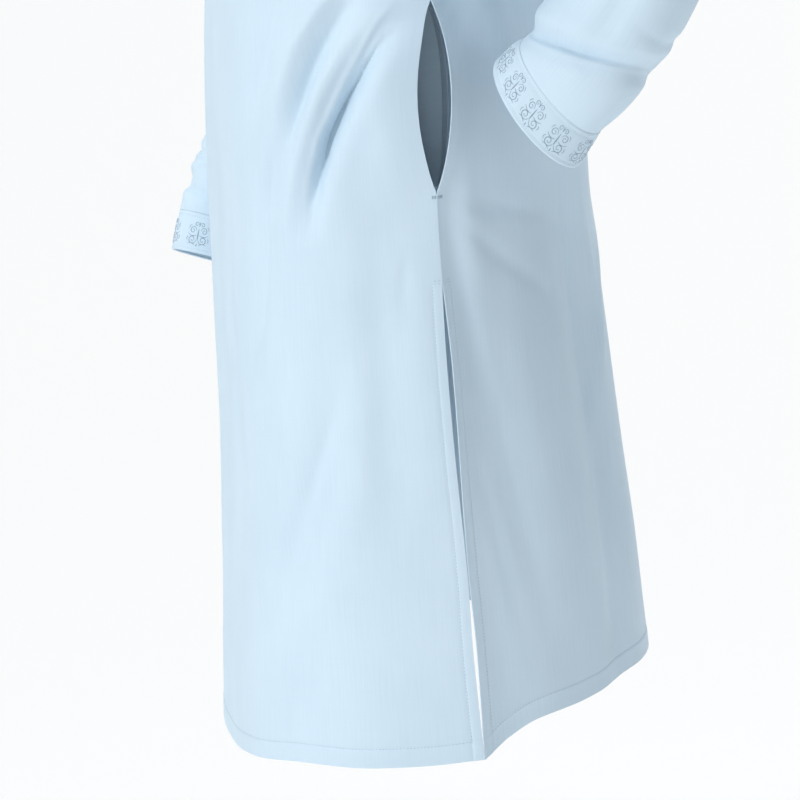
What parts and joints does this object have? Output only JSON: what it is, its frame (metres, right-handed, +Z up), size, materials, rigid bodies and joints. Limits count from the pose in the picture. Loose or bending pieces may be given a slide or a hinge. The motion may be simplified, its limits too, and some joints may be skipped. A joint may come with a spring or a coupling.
{
  "type": "kurta",
  "caption": "Long collarless men's kurta in fine pale blue cotton, worn shape and hollow, with side slits, an in-seam pocket and banded cuffs embroidered with scrolls.",
  "frame": {"origin": "midway between the neck points of the shoulders, at the height of the shoulder seams there, where a wearer holds it up", "axes": "+Z up along the body, -Y out of the front, +X to the wearer's left"},
  "size_m": [0.7162, 0.4205, 1.1166],
  "materials": {
    "cloth": "fine plain weave with a soft, slight sheen",
    "cuff_cloth": "fine plain weave, doubled and embroidered with scrolls",
    "pocketing": "plain thin cotton, matt",
    "button": "pearly shirt button"
  },
  "bodies": {
    "root": {"front_panel": "cloth", "back_panel": "cloth", "sleeve_left": "cloth", "sleeve_right": "cloth", "cuff_left": "cuff_cloth", "cuff_right": "cuff_cloth", "neck_band": "cloth", "placket": "cloth", "pocket_bag_left": "pocketing", "button_1": "button", "button_2": "button", "button_3": "button", "button_4": "button"}
  },
  "joints": []
}
